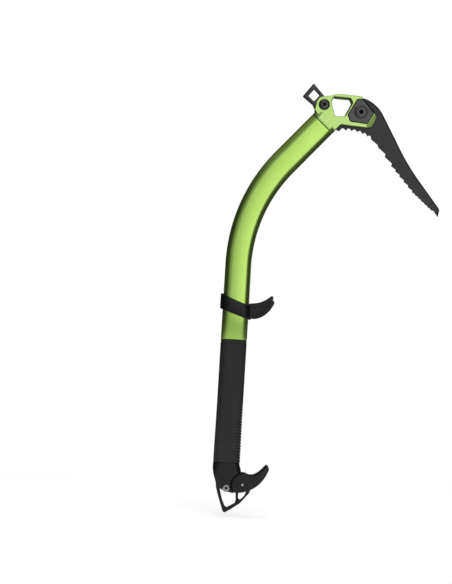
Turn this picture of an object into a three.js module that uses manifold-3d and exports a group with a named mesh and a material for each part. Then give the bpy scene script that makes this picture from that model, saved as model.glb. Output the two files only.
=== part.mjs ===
// A technical ice axe with a bent shaft, in millimetres.
// The origin is the middle of the hand grip. +Z runs up the grip, +X points forward, to the side
// that the pick is on, and Y is the thickness. The head is drawn in its own axes, with the pick's
// bolt at their origin, and is then turned by HEAD_TILT onto the shaft.
import * as THREE from 'three';
import { mergeVertices } from 'three/addons/utils/BufferGeometryUtils.js';
import Module from 'manifold-3d';

const wasm = await Module();
wasm.setup();

// ---- driving dimensions ----
const GAP = 0.3; // clearance between pieces that touch
const HEAD_TILT = 3.45; // degrees from the head's own upright to the grip's axis
const PICK_BOLT = [129.5, 338.5]; // X and Z of the pick's bolt

const SHAFT = { depth: 15, width: 10.5, corner: 8.5, wall: 2.2 }; // half sizes of the tube
const SHAFT_TOP = { depth: 15.8, width: 10.5, corner: 8.5 }; // the tube where it meets the head
const NECKED = { depth: 12.8, width: 8.8, corner: 7 }; // the tube inside the grip and the pommel
const BEND = { z: 156, radius: 182, angle: 41.5, steps: 9 }; // the bend above the hand
const SHAFT_END = -82; // lower end of the tube
const TOP_STRAIGHT = 61.3; // straight stretch between the bend and the head

const GRIP = { top: 69.8, bottom: -71, depth: 15, lowDepth: 15.4, width: 11, corner: 9 };

const BAND_WALL = 3.1; // the finger rest's collar
const FINGER_WIDTH = 15; // the finger rest's hook, across
const PAD = { z: 112, height: 11, width: 7, thick: 1.1 };

const PIVOT = [19.7, -95.7]; // the hand rest's pin
const HUB = 13; // radius of the hand rest's round root
const HUB_RECESS = 13.6;
const LUG = { inner: 2.5, outer: 5.5, radius: 7 };
const REST_WIDTH = 10.6; // half width of the hand rest
const POMMEL_WIDTH = 11;
const CLAMP_SCREW = [1.2, -100];

const SPIKE_THICK = 4;
const SPIKE_SLOT = 5;
const PLUG_TOP = -60;
const SPIKE_RIVET_Z = -73;

const HEAD_THICK = 19;
const PICK_THICK = 4;
const PICK_SLOT = 4.6;
const PLATE = { floor: 7.6, thick: 2 }; // pocket floor and thickness of the side plates
const HAMMER_BOLT = [-41.9, 8.7]; // in the head's axes
const HAMMER_THICK = 11;
const TONGUE_THICK = 5.4; // the hammer's root, between the head's cheeks
const TANG_LENGTH = 42;
const NECK_LENGTH = 13;

// ---- outlines: lists of [x, z] points ----
const radians = THREE.MathUtils.degToRad;

function arc([x, z], radius, from, to, steps) {
  const points = [];
  for (let i = 0; i <= steps; i++) {
    const angle = radians(from + ((to - from) * i) / steps);
    points.push([x + radius * Math.cos(angle), z + radius * Math.sin(angle)]);
  }
  return points;
}

function curve(start, control, end, steps) {
  const bow = new THREE.QuadraticBezierCurve(
    new THREE.Vector2(...start), new THREE.Vector2(...control), new THREE.Vector2(...end));
  return bow.getPoints(steps).map((p) => [p.x, p.y]);
}

// Each corner is [x, z] or [x, z, radius]; a radius rounds the corner off, with a step for
// every 30 degrees that it turns through.
function rounded(corners) {
  return corners.flatMap(([x, z, radius], i) => {
    if (!radius) return [[x, z]];
    const corner = new THREE.Vector2(x, z);
    const count = corners.length;
    const before = new THREE.Vector2(...corners[(i + count - 1) % count]).sub(corner).normalize();
    const after = new THREE.Vector2(...corners[(i + 1) % count]).sub(corner).normalize();
    const inside = Math.acos(before.dot(after));
    const reach = radius / Math.tan(inside / 2);
    const steps = Math.ceil((Math.PI - inside) / (Math.PI / 6));
    const start = corner.clone().addScaledVector(before, reach);
    const end = corner.clone().addScaledVector(after, reach);
    return curve(start.toArray(), [x, z], end.toArray(), steps);
  });
}

// The same outline, moved outwards by a distance (inwards if it is negative).
function grown(outline, distance) {
  const points = outline.map((p) => new THREE.Vector2(...p));
  const outward = THREE.ShapeUtils.isClockWise(points) ? -1 : 1;
  return points.map((point, i) => {
    const count = points.length;
    const before = point.clone().sub(points[(i + count - 1) % count]).normalize();
    const after = points[(i + 1) % count].clone().sub(point).normalize();
    const side = before.clone().add(after).normalize();
    const normal = new THREE.Vector2(side.y, -side.x).multiplyScalar(outward);
    const miter = distance / Math.max(0.4, side.dot(after));
    return point.clone().addScaledVector(normal, miter).toArray();
  });
}

// ---- solids ----

// An outline given a thickness between two values of Y.
function slab(outline, low, high, bevel = 0) {
  const shape = new THREE.Shape(outline.map((p) => new THREE.Vector2(...p)));
  const geometry = new THREE.ExtrudeGeometry(shape, {
    depth: high - low - 2 * bevel,
    bevelEnabled: bevel > 0,
    bevelThickness: bevel,
    bevelSize: bevel,
    bevelOffset: -bevel,
    bevelSegments: 1,
  });
  geometry.rotateX(Math.PI / 2);
  geometry.translate(0, high - bevel, 0);
  return geometry;
}

const plate = (outline, thickness, bevel) => slab(outline, -thickness / 2, thickness / 2, bevel);

// A round bar along Y.
function bar([x, z], radius, low, high, sides = 28) {
  const geometry = new THREE.CylinderGeometry(radius, radius, high - low, sides);
  geometry.translate(x, (low + high) / 2, z);
  return geometry;
}

// A turned piece along Y, from a profile of [radius, y] that starts and ends on the axis.
function turned(profile, [x, z], sides = 28) {
  const geometry = new THREE.LatheGeometry(profile.map((p) => new THREE.Vector2(...p)), sides);
  geometry.translate(x, 0, z);
  return geometry;
}

// A rounded rectangle of the given half sizes, as [forward, sideways] points.
function section({ depth, width, corner }) {
  const centres = [[1, 1, 0], [-1, 1, 90], [-1, -1, 180], [1, -1, 270]];
  return centres.flatMap(([sx, sy, from]) =>
    arc([sx * (depth - corner), sy * (width - corner)], corner, from, from + 90, 4));
}

const offset = ({ depth, width, corner }, by) =>
  ({ depth: depth + by, width: width + by, corner: corner + by });

const mix = (a, b, t) => ({
  depth: THREE.MathUtils.lerp(a.depth, b.depth, t),
  width: THREE.MathUtils.lerp(a.width, b.width, t),
  corner: THREE.MathUtils.lerp(a.corner, b.corner, t),
});

// A solid through stations of { x, z, angle, size }, each a section square to its angle.
function loft(stations) {
  const positions = [];
  const indices = [];
  const rings = stations.map(({ x = 0, z, angle = 0, size }) => section(size).map(([u, v]) =>
    [x + u * Math.cos(radians(angle)), v, z - u * Math.sin(radians(angle))]));
  const count = rings[0].length;
  rings.flat().forEach((point) => positions.push(...point));
  for (let ring = 0; ring < rings.length - 1; ring++) {
    for (let i = 0; i < count; i++) {
      const a = ring * count + i;
      const b = ring * count + ((i + 1) % count);
      indices.push(a, b, b + count, a, b + count, a + count);
    }
  }
  const last = (rings.length - 1) * count;
  for (let i = 1; i < count - 1; i++) {
    indices.push(0, i + 1, i);
    indices.push(last, last + i, last + i + 1);
  }
  const geometry = new THREE.BufferGeometry();
  geometry.setAttribute('position', new THREE.Float32BufferAttribute(positions, 3));
  geometry.setIndex(indices);
  return geometry;
}

// ---- joins and cuts ----
function toSolid(geometry) {
  const bare = geometry.clone();
  bare.deleteAttribute('normal');
  bare.deleteAttribute('uv');
  const merged = mergeVertices(bare, 1e-4);
  return new wasm.Manifold(new wasm.Mesh({
    numProp: 3,
    vertProperties: new Float32Array(merged.attributes.position.array),
    triVerts: new Uint32Array(merged.index.array),
  }));
}

function toGeometry(solid) {
  const mesh = solid.getMesh();
  const geometry = new THREE.BufferGeometry();
  geometry.setAttribute('position', new THREE.BufferAttribute(mesh.vertProperties, 3));
  geometry.setIndex(new THREE.BufferAttribute(mesh.triVerts, 1));
  geometry.computeVertexNormals();
  return geometry;
}

const join = (...pieces) => toGeometry(pieces.map(toSolid).reduce((whole, next) => whole.add(next)));

const cut = (piece, ...tools) =>
  toGeometry(tools.map(toSolid).reduce((rest, tool) => rest.subtract(tool), toSolid(piece)));

const common = (a, b) => toGeometry(toSolid(a).intersect(toSolid(b)));

// ---- materials ----
const finish = (color, roughness, metalness) =>
  new THREE.MeshStandardMaterial({ color, roughness, metalness });

const GREEN = () => finish(0x9cc45a, 0.35, 0.3);
const DARK_STEEL = () => finish(0x46484a, 0.45, 0.8);
const GREY_STEEL = () => finish(0x74767a, 0.4, 0.9);
const BRIGHT_STEEL = () => finish(0xb8babd, 0.25, 1);
const RUBBER = () => finish(0x2e302f, 0.8, 0);
const BLACK_PLASTIC = () => finish(0x232428, 0.5, 0);

const axe = new THREE.Group();
const head = new THREE.Group();
head.position.set(PICK_BOLT[0], 0, PICK_BOLT[1]);
head.rotation.y = -radians(HEAD_TILT);
axe.add(head);

function add(group, name, geometry, material) {
  const mesh = new THREE.Mesh(geometry, material);
  mesh.name = name;
  group.add(mesh);
}

// ---- shaft ----

// A station at a share of the way round the bend.
function bendStation(share, size) {
  const angle = BEND.angle * share;
  const turn = radians(angle);
  return {
    x: BEND.radius * (1 - Math.cos(turn)),
    z: BEND.z + BEND.radius * Math.sin(turn),
    angle,
    size,
  };
}

// A station on the straight stretch above the bend.
function topStation(distance, size) {
  const end = bendStation(1, size);
  const turn = radians(BEND.angle);
  return { ...end, x: end.x + distance * Math.sin(turn), z: end.z + distance * Math.cos(turn) };
}

function bend(from, to) {
  const stations = [];
  for (let i = 0; i <= BEND.steps; i++) {
    const share = i / BEND.steps;
    stations.push(bendStation(share, mix(from, to, share)));
  }
  return stations;
}

function shaftTube() {
  const bore = offset(SHAFT, -SHAFT.wall);
  const topBore = offset(SHAFT_TOP, -SHAFT.wall);
  const neckedBore = offset(NECKED, -2);
  const outside = loft([
    { z: SHAFT_END, size: NECKED },
    { z: GRIP.top + GAP, size: NECKED },
    { z: GRIP.top + GAP, size: SHAFT },
    ...bend(SHAFT, SHAFT_TOP),
    topStation(TOP_STRAIGHT, SHAFT_TOP),
  ]);
  const inside = loft([
    { z: SHAFT_END - 1, size: neckedBore },
    { z: GRIP.top - 4, size: neckedBore },
    { z: GRIP.top + 4, size: bore },
    ...bend(bore, topBore),
    topStation(TOP_STRAIGHT + 1, topBore),
  ]);
  const rivetHole = bar([0, SPIKE_RIVET_Z], 2.3, -20, 20, 16);
  return cut(outside, inside, rivetHole);
}

// ---- hand grip ----
function handGrip() {
  const size = { depth: GRIP.depth, width: GRIP.width, corner: GRIP.corner };
  const low = { ...size, depth: GRIP.lowDepth };
  const outside = loft([
    { z: GRIP.bottom, size: low },
    { z: 0, size },
    { z: GRIP.top - 1, size },
    { z: GRIP.top, size: offset(size, -0.6) },
  ]);
  const bore = offset(NECKED, GAP);
  return cut(outside, loft([{ z: GRIP.bottom - 1, size: bore }, { z: GRIP.top + 1, size: bore }]));
}

// ---- finger rest that slides on the shaft ----
function padBox(slack) {
  const box = new THREE.BoxGeometry(PAD.thick + slack, PAD.width + 2 * slack, PAD.height + 2 * slack);
  box.translate(-SHAFT.depth - GAP - (PAD.thick + slack) / 2, 0, PAD.z);
  return box;
}

function fingerRest() {
  const outer = offset(SHAFT, BAND_WALL);
  const collar = loft([{ z: 85, size: outer }, { z: 130, size: outer }]);
  const slantedCollar = plate(rounded([
    [-22, 123.5], [-9.8, 118.6, 3], [9.3, 111.8, 3], [22, 109.2],
    [22, 92.4], [9, 95.6, 3], [-5, 100.4, 3], [-15.2, 102.9, 2], [-22, 107],
  ]), 40);
  const hook = rounded([
    [10, 111], [15.5, 112, 1], [26, 113.4, 6], [34, 117.1, 4], [41, 122.6, 0.8], [42.8, 120.3, 0.8],
    [41.6, 117.3, 0.5], [43.6, 116.8, 0.6], [43.9, 113.2, 2], [39.7, 105.7, 4], [33.6, 99.4, 4],
    [27.6, 95.9, 4], [22, 94.5, 3], [10, 94.8],
  ]);
  const recess = rounded([
    [18.4, 110, 0.8], [26, 109.7, 3], [39.4, 117, 1], [40.4, 112.8, 2], [33, 100.8, 4],
    [23.5, 96.6, 2], [18.4, 96.6, 0.8],
  ]);
  const half = FINGER_WIDTH / 2;
  const path = offset(SHAFT, GAP);
  return cut(
    join(common(collar, slantedCollar), plate(hook, FINGER_WIDTH)),
    slab(recess, half - 4.8, half + 1),
    slab(recess, -half - 1, -half + 4.8),
    loft([{ z: 80, size: path }, { z: 135, size: path }]),
    padBox(GAP),
  );
}

// ---- pommel ----
function pommelSleeve() {
  const side = [
    [-15.4, -71.3], [15, -71.3], [15.3, -75], [17.8, -80.6],
    [18, -84], [18, -100], [14.8, -105.3], [8.8, -105.7],
    ...curve([0.9, -104], [-7, -102.4], [-10.9, -95.4], 4),
    ...curve([-11.5, -92.8], [-15, -84.5], [-15.5, -77], 4),
  ];
  const body = common(
    plate(side, 2 * POMMEL_WIDTH),
    loft([
      { z: -110, size: { depth: 19, width: POMMEL_WIDTH - 1.5, corner: 5 } },
      { z: -100, size: { depth: 19, width: POMMEL_WIDTH, corner: 6 } },
      { z: -85, size: { depth: 18, width: POMMEL_WIDTH, corner: 8 } },
      { z: -71.3, size: { depth: GRIP.lowDepth, width: POMMEL_WIDTH, corner: GRIP.corner } },
    ]),
  );
  const [x, z] = PIVOT;
  const lug = [
    [4, z + LUG.radius + 2], [x - 4, z + LUG.radius + 1],
    ...arc(PIVOT, LUG.radius, 90, -90, 10), [4, z - LUG.radius],
  ];
  const spikeSlot = rounded([
    [-11.4, -120], [-11.4, -80], [11, -80], [14, -80.5, 1], [16.7, -82.4, 1], [16.7, -120],
  ]);
  const bore = offset(NECKED, GAP + 0.05);
  return cut(
    join(
      cut(body, bar(PIVOT, HUB_RECESS, -20, 20, 44)),
      slab(lug, LUG.inner, LUG.outer),
      slab(lug, -LUG.outer, -LUG.inner),
    ),
    plate(spikeSlot, SPIKE_SLOT),
    loft([{ z: SHAFT_END - 0.5, size: bore }, { z: -70, size: bore }]),
    bar(PIVOT, 2.2, -20, 20, 20),
    bar(CLAMP_SCREW, 2.8, -20, 20, 20),
  );
}

// The hand rest turns on the pin: two cheeks outside the sleeve's lugs, joined by the hook.
function handRest() {
  const side = [
    ...arc(PIVOT, HUB, 82, 228, 16),
    ...curve([15.4, -105.3], [40, -101.8], [49, -77.4], 9),
    ...curve([48.9, -75.2], [47.4, -72.2], [45.4, -72.6], 3),
    ...curve([43.6, -74.4], [32.4, -88.9], [22.6, -83.3], 7),
  ];
  return cut(
    plate(side, 2 * REST_WIDTH, 1.4),
    bar(PIVOT, HUB + 1, -LUG.outer - GAP, LUG.outer + GAP, 36),
    bar(PIVOT, 2.3, -20, 20, 20),
    bar(PIVOT, 3.9, REST_WIDTH - 1, 20, 24),
    bar(PIVOT, 3.9, -20, 1 - REST_WIDTH, 24),
  );
}

const pivotPin = () => bar(PIVOT, 1.95, -REST_WIDTH + 0.5, REST_WIDTH - 0.5, 20);

function clampScrew() {
  const face = -POMMEL_WIDTH - GAP;
  const body = turned([
    [0, POMMEL_WIDTH + 3.4], [2.5, POMMEL_WIDTH + 3.4], [2.5, face], [4.5, face],
    [4.5, face - 1.2], [3.6, face - 2.2], [0, face - 2.2],
  ].reverse(), CLAMP_SCREW, 24);
  return cut(body, bar(CLAMP_SCREW, 1.7, -30, face - 0.8, 6));
}

function clampNut() {
  const face = POMMEL_WIDTH + GAP;
  return cut(bar(CLAMP_SCREW, 4.5, face, face + 3.2, 6), bar(CLAMP_SCREW, 2.8, 0, 30, 20));
}

// ---- spike ----
function spikePlate() {
  const outside = rounded([
    [-7.5, -62.5, 1], [7.5, -62.5, 1], [7.5, -89.6], [12.3, -91.3, 1], [16, -97, 1],
    [15.7, -112, 1], [17.9, -113.8, 0.8], [22.6, -109, 2], [25.9, -100.6, 0.5], [29.8, -100.9, 0.5],
    [27.9, -105.9, 2], [18, -117.9, 8], [7.5, -125.4], [1.4, -129.3, 0.6], [-0.9, -128.6, 0.8],
    [-6.7, -112.9, 20], [-10.3, -101.3, 4], [-10.9, -96.5], [-9.6, -89.6, 1], [-7.5, -89.6],
  ]);
  const eye = rounded([
    [-6, -95.4, 1.5], [12.5, -95.4, 1.5], [12.5, -106.6], [13, -114.4, 2], [12, -118, 1.5],
    [3.2, -123.3, 1.2], [0.8, -121.8, 1.2], [-2.9, -113.4, 6], [-5.8, -103, 4],
  ]);
  return cut(
    plate(outside, SPIKE_THICK),
    plate(eye, 2 * SPIKE_THICK),
    bar([0, SPIKE_RIVET_Z], 2.3, -9, 9, 16),
  );
}

function spikePlug() {
  const size = offset(NECKED, -2 - GAP);
  const slot = new THREE.BoxGeometry(15 + 2 * GAP, SPIKE_THICK + 2 * GAP, 22);
  slot.translate(0, 0, -73);
  return cut(
    loft([{ z: SHAFT_END + 0.2, size }, { z: PLUG_TOP, size }]),
    slot,
    bar([0, SPIKE_RIVET_Z], 2.3, -12, 12, 16),
  );
}

const spikeRivet = () => bar([0, SPIKE_RIVET_Z], 2, -NECKED.width + 0.1, NECKED.width - 0.1, 16);

// ---- head, in its own axes ----
const AXIS = BEND.angle + HEAD_TILT; // the shaft's direction at the head, from upright

// The middle of the head's joint with the shaft.
function jointInHead() {
  const { x, z } = topStation(TOP_STRAIGHT);
  const turn = radians(HEAD_TILT);
  const [dx, dz] = [x - PICK_BOLT[0], z - PICK_BOLT[1]];
  return [dx * Math.cos(turn) + dz * Math.sin(turn), dz * Math.cos(turn) - dx * Math.sin(turn)];
}

const JOINT = jointInHead();

// A point at a distance above the joint along the shaft's direction, and across it.
function neckPoint(distance, across = 0) {
  const turn = radians(AXIS);
  return [
    JOINT[0] + distance * Math.sin(turn) + across * Math.cos(turn),
    JOINT[1] + distance * Math.cos(turn) - across * Math.sin(turn),
  ];
}

function neckStation(distance, size) {
  const [x, z] = neckPoint(distance);
  return { x, z, angle: AXIS, size };
}

const headOutline = () => rounded([
  [-58, -4], [-52.6, 2.6, 1], [-52.2, 6.4, 2], ...arc(HAMMER_BOLT, 9.4, 178, 92, 8),
  [-34.4, 19, 5], [-28.3, 20.8, 3], [-18.1, 20.3, 6], [-7.7, 19.2, 8], [1.6, 17.9, 1.4], [3.6, 14.6, 1],
  [15, 0], [18.6, -4.4, 2], [16.2, -11.4, 3], [12.4, -17.2, 3], [7.5, -17.6, 3], [-12.3, -15.2],
  [-22.6, -13.7, 3], [-27.2, -17.8, 3], [-37, -28],
]);

const windowOutline = () => rounded([
  [-33.3, 12, 2.4], [-30.2, 16.8, 2], [-12.6, 15.1, 2],
  [-10.6, 10.4, 1.4], [-18.7, -4.4, 2.4], [-29.2, -4.4, 2.4],
]);

const sidePlateOutline = () => rounded([
  [-3.6, 14.5, 1.5], [2.2, 14.6, 1], [14.7, -0.8, 1],
  [7.3, -13, 1.5], [-11.8, -10.2, 1.5], [-14.6, -3, 1.5],
]);

// Teeth from one tip to the next, each cut back by a share of its pitch just before the next tip.
function teeth([x1, z1], [x2, z2], count) {
  const points = [];
  const [dx, dz] = [(x2 - x1) / count, (z2 - z1) / count];
  for (let i = 0; i < count; i++) {
    const [x, z] = [x1 + dx * i, z1 + dz * i];
    points.push([x, z], [x + 0.84 * dx - 0.2 * dz, z + 0.84 * dz + 0.2 * dx]);
  }
  return points;
}

// Small teeth parted by round hollows, along the underside next to the head.
function scallops(start, control, end, count) {
  const tips = curve(start, control, end, count);
  return tips.slice(0, -1).flatMap(([x, z], i) => {
    const [nextX, nextZ] = tips[i + 1];
    const [dx, dz] = [nextX - x, nextZ - z];
    const deep = [x + dx / 2 - 0.85 * dz, z + dz / 2 + 0.85 * dx];
    return curve([x, z], deep, [nextX, nextZ], 4).slice(0, -1);
  });
}

const pickOutline = () => [
  [-27.3, -20.3], ...scallops([-23.7, -20.7], [-2, -18.9], [12.4, -30.3], 6),
  [12.4, -30.3], [20, -36.8],
  ...teeth([20.9, -40], [35.4, -61.2], 2),
  ...teeth([35.4, -61.2], [59.4, -91.2], 5),
  ...teeth([59.4, -91.2], [80.5, -111.6], 6),
  [80.5, -111.6], [84, -112.6], [88.8, -119.8],
  ...curve([90.7, -112], [90.2, -109.8], [88.9, -108.2], 2),
  ...curve([66, -76.2], [51.6, -55.5], [40.2, -30.6], 5),
  ...curve([26.8, -3.8], [20.2, 10.1], [6.6, 15.9], 6),
  [2.4, 16.9], [-4, 13], [-5.8, 9.4], [-13.6, -7.4], [-17, -9.4], [-27.3, -10.6],
];

const pickSlotOutline = () => [
  [-27.7, -10.1], [-17.2, -8.9], [-14.1, -7.2], [-6.3, 9.6], [-4.4, 13.4], [0.6, 19],
  [30, 19], [30, -40], [-27.7, -40],
];

const hammerOutline = () => [
  ...rounded([[-66.2, 19.1, 1], [-53.7, 33.5, 1.2], [-41.6, 19.1, 1]]),
  [-37.5, 12], [-37.5, 2], [-44, 1], [-52, 3.4], [-54.8, 9.4],
];

const hammerEye = () => 
  rounded([[-60, 19.2, 0.6], [-53, 27.2, 0.6], [-46.6, 20, 0.6], [-53.6, 12.9, 0.6]]);

function headBody() {
  const above = [neckPoint(5, -60), neckPoint(5, 60), neckPoint(120, 60), neckPoint(120, -60)];
  const inner = offset(SHAFT_TOP, -SHAFT.wall - GAP);
  const pocket = grown(sidePlateOutline(), GAP);
  const tongueSlot = [
    [-37.1, 0.4], [-37.1, 12], [-39, 24], [-70, 24], [-70, 3], [-53.4, 3], [-44, 0.4],
  ];
  const reach = TONGUE_THICK / 2 + GAP;
  return cut(
    join(
      common(plate(headOutline(), HEAD_THICK, 1), plate(above, 60)),
      loft([
        neckStation(GAP, SHAFT_TOP),
        neckStation(NECK_LENGTH, { depth: 15.4, width: 9.2, corner: 7 }),
      ]),
      loft([neckStation(-TANG_LENGTH, inner), neckStation(6, offset(inner, -0.5))]),
    ),
    plate(windowOutline(), 40),
    slab(pocket, PLATE.floor, 20),
    slab(pocket, -20, -PLATE.floor),
    plate(pickSlotOutline(), PICK_SLOT),
    slab(tongueSlot, -reach, reach),
    bar([0, 0], 4.3, -20, 20, 24),
    bar(HAMMER_BOLT, 2.8, -20, 20, 20),
  );
}

const pick = () => cut(plate(pickOutline(), PICK_THICK), bar([0, 0], 4.3, -9, 9, 24));

function hammer() {
  const cheeks = grown(headOutline(), GAP);
  const reach = TONGUE_THICK / 2;
  return cut(
    plate(hammerOutline(), HAMMER_THICK),
    plate(hammerEye(), 2 * HAMMER_THICK),
    slab(cheeks, reach, 20),
    slab(cheeks, -20, -reach),
    bar(HAMMER_BOLT, 2.8, -20, 20, 20),
  );
}

// side is -1 or 1, for the piece's side of the head.
function sidePlate(side) {
  const inner = PLATE.floor + GAP;
  const outer = inner + PLATE.thick;
  const [low, high] = side < 0 ? [-outer, -inner] : [inner, outer];
  return cut(slab(sidePlateOutline(), low, high), bar([0, 0], 4.3, -20, 20, 24));
}

// A bolt whose head lies against -face and whose shank runs out past the nut on the other side.
function bolt(place, { face, radius, headRadius, headHeight, reach, socket }) {
  const body = turned([
    [0, -face - headHeight], [headRadius - 1.4, -face - headHeight],
    [headRadius, -face - headHeight + 1.1], [headRadius, -face],
    [radius, -face], [radius, reach], [0, reach],
  ], place);
  return cut(body, bar(place, socket, -face - headHeight - 1, -face - headHeight + 1.9, 6));
}

function nut(place, { face, hole, flange, across, height }) {
  return cut(
    join(bar(place, flange, face, face + 1.4), bar(place, across, face + 1, face + height, 6)),
    bar(place, hole, face - 1, face + height + 1, 20),
  );
}

const PICK_FACE = PLATE.floor + GAP + PLATE.thick + GAP;
const HAMMER_FACE = HEAD_THICK / 2 + GAP;

add(axe, 'shaft_tube', shaftTube(), GREEN());
add(axe, 'grip_sleeve', handGrip(), RUBBER());
add(axe, 'finger_rest', fingerRest(), BLACK_PLASTIC());
add(axe, 'finger_rest_pad', padBox(0), RUBBER());
add(axe, 'pommel_sleeve', pommelSleeve(), BLACK_PLASTIC());
add(axe, 'hand_rest', handRest(), BLACK_PLASTIC());
add(axe, 'hand_rest_pin', pivotPin(), BRIGHT_STEEL());
add(axe, 'clamp_screw', clampScrew(), BRIGHT_STEEL());
add(axe, 'clamp_nut', clampNut(), GREY_STEEL());
add(axe, 'spike', spikePlate(), DARK_STEEL());
add(axe, 'spike_plug', spikePlug(), BLACK_PLASTIC());
add(axe, 'spike_rivet', spikeRivet(), GREY_STEEL());

add(head, 'head', headBody(), GREEN());
add(head, 'pick', pick(), DARK_STEEL());
add(head, 'side_plate_left', sidePlate(-1), GREY_STEEL());
add(head, 'side_plate_right', sidePlate(1), GREY_STEEL());
add(head, 'pick_bolt', bolt([0, 0], {
  face: PICK_FACE, radius: 4, headRadius: 7.2, headHeight: 3, reach: PICK_FACE + 6.4, socket: 2.9,
}), GREY_STEEL());
add(head, 'pick_nut', nut([0, 0], {
  face: PICK_FACE, hole: 4.3, flange: 7.2, across: 6.6, height: 5.6,
}), GREY_STEEL());
add(head, 'hammer', hammer(), DARK_STEEL());
add(head, 'hammer_bolt', bolt(HAMMER_BOLT, {
  face: HAMMER_FACE, radius: 2.5, headRadius: 6.4, headHeight: 2.6, reach: HAMMER_FACE + 5, socket: 2.4,
}), GREY_STEEL());
add(head, 'hammer_nut', nut(HAMMER_BOLT, {
  face: HAMMER_FACE, hole: 2.8, flange: 6, across: 5, height: 4.4,
}), GREY_STEEL());

export default axe;
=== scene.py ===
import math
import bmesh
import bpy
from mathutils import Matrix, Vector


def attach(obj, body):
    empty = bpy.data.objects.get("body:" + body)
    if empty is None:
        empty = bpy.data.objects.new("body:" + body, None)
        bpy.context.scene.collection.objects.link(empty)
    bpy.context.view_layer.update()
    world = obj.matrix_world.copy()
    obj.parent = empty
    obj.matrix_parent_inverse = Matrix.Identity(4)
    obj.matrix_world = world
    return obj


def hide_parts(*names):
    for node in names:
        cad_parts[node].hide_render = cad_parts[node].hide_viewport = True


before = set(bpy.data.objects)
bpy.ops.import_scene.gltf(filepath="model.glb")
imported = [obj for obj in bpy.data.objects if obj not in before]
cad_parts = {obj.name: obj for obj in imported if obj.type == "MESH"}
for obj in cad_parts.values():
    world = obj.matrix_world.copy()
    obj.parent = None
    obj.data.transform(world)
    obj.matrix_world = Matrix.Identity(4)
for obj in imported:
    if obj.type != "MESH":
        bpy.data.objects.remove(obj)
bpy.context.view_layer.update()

# %% [markdown]
# # An ice axe, finished in Blender
# The first lines load the measured CAD model, where every part already has its true size and
# place. This lesson replaces the plain CAD parts by finer ones, gives each a finish, and sets
# up a small studio. Lengths are given in millimetres and turned into Blender's metres once.

MM = 0.001

# %% [markdown]
# ## The camera
# The tool is seen square from its side, as in a catalogue, and it leans a little to the left.
# A long lens two metres away keeps the side view nearly free of perspective. The camera's
# axes are written straight into its matrix, because a rolled camera is easier to read so.

# %% Camera square to the side of the tool
VIEW_DISTANCE = 2.0
VIEW_HEIGHT = 0.6716  # what the frame shows at the tool, from bottom to top, in metres
VIEW_CENTRE = (-0.01229, 0.12368)
LEAN = math.radians(3.45)

lens = bpy.data.cameras.new("studio_camera")
camera = bpy.data.objects.new("studio_camera", lens)
bpy.context.scene.collection.objects.link(camera)
bpy.context.scene.camera = camera
lens.sensor_fit = "VERTICAL"
lens.sensor_height = 24
lens.lens = lens.sensor_height * VIEW_DISTANCE / VIEW_HEIGHT
camera.matrix_world = Matrix((
    (math.cos(LEAN), -math.sin(LEAN), 0, VIEW_CENTRE[0]),
    (0, 0, -1, -VIEW_DISTANCE),
    (math.sin(LEAN), math.cos(LEAN), 0, VIEW_CENTRE[1]),
    (0, 0, 0, 1),
))
print("lens, mm:", round(lens.lens, 1))

# %% [markdown]
# ## The studio
# Metallic paint shows what stands round it: a broad white wall behind the camera lights the
# flat of the tube, and darker sides shade its edges. The world is that room. It is bright in
# front, nearly dark at the sides and faint behind, and a soft box lights the other side.
# The camera itself sees plain white. Three soft boxes give the shapes a top and a front.

# %% World: bright in front, dim at the sides
FRONT_LIGHT = 0.50
SIDE_LIGHT = 0.015
BACK_LIGHT = 0.08

world = bpy.data.worlds.new("studio")
bpy.context.scene.world = world
world.use_nodes = True
nodes = world.node_tree.nodes
links = world.node_tree.links
nodes.clear()
direction = nodes.new("ShaderNodeTexCoord")
direction.label = "direction looked in"
parts = nodes.new("ShaderNodeSeparateXYZ")
parts.label = "how far to the back"
room = nodes.new("ShaderNodeMapRange")
room.label = "front to back as 0 to 1"
walls = nodes.new("ShaderNodeValToRGB")
walls.label = "brightness of the walls"
ceiling = nodes.new("ShaderNodeMapRange")
ceiling.label = "more light from above"
brightness = nodes.new("ShaderNodeMath")
brightness.label = "walls and ceiling"
lit_room = nodes.new("ShaderNodeBackground")
lit_room.label = "what lights the tool"
backdrop = nodes.new("ShaderNodeBackground")
backdrop.label = "white behind the tool"
ray = nodes.new("ShaderNodeLightPath")
ray.label = "seen or lighting"
choice = nodes.new("ShaderNodeMixShader")
choice.label = "backdrop or room"
sky = nodes.new("ShaderNodeOutputWorld")
sky.label = "world"
for step, node in enumerate(nodes):
    node.location = (200 * step, 0)
room.inputs["From Min"].default_value = -1
walls.color_ramp.elements[0].color = (FRONT_LIGHT,) * 3 + (1,)
walls.color_ramp.elements[1].color = (BACK_LIGHT,) * 3 + (1,)
for place, light in (
        (0.05, FRONT_LIGHT), (0.24, SIDE_LIGHT), (0.84, SIDE_LIGHT), (0.97, BACK_LIGHT)):
    walls.color_ramp.elements.new(place).color = (light,) * 3 + (1,)
ceiling.inputs["From Min"].default_value = 0.45
ceiling.inputs["To Max"].default_value = 0.45
brightness.operation = "ADD"
lit_room.inputs["Strength"].default_value = 1
backdrop.inputs["Color"].default_value = (1, 1, 1, 1)
links.new(direction.outputs["Generated"], parts.inputs["Vector"])
links.new(parts.outputs["Y"], room.inputs["Value"])
links.new(room.outputs["Result"], walls.inputs["Fac"])
links.new(parts.outputs["Z"], ceiling.inputs["Value"])
links.new(walls.outputs["Color"], brightness.inputs[0])
links.new(ceiling.outputs["Result"], brightness.inputs[1])
links.new(brightness.outputs[0], lit_room.inputs["Color"])
links.new(ray.outputs["Is Camera Ray"], choice.inputs["Fac"])
links.new(lit_room.outputs[0], choice.inputs[1])
links.new(backdrop.outputs[0], choice.inputs[2])
links.new(choice.outputs[0], sky.inputs["Surface"])
bpy.context.scene.view_settings.view_transform = "Standard"
print("world nodes:", len(nodes))

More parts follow.
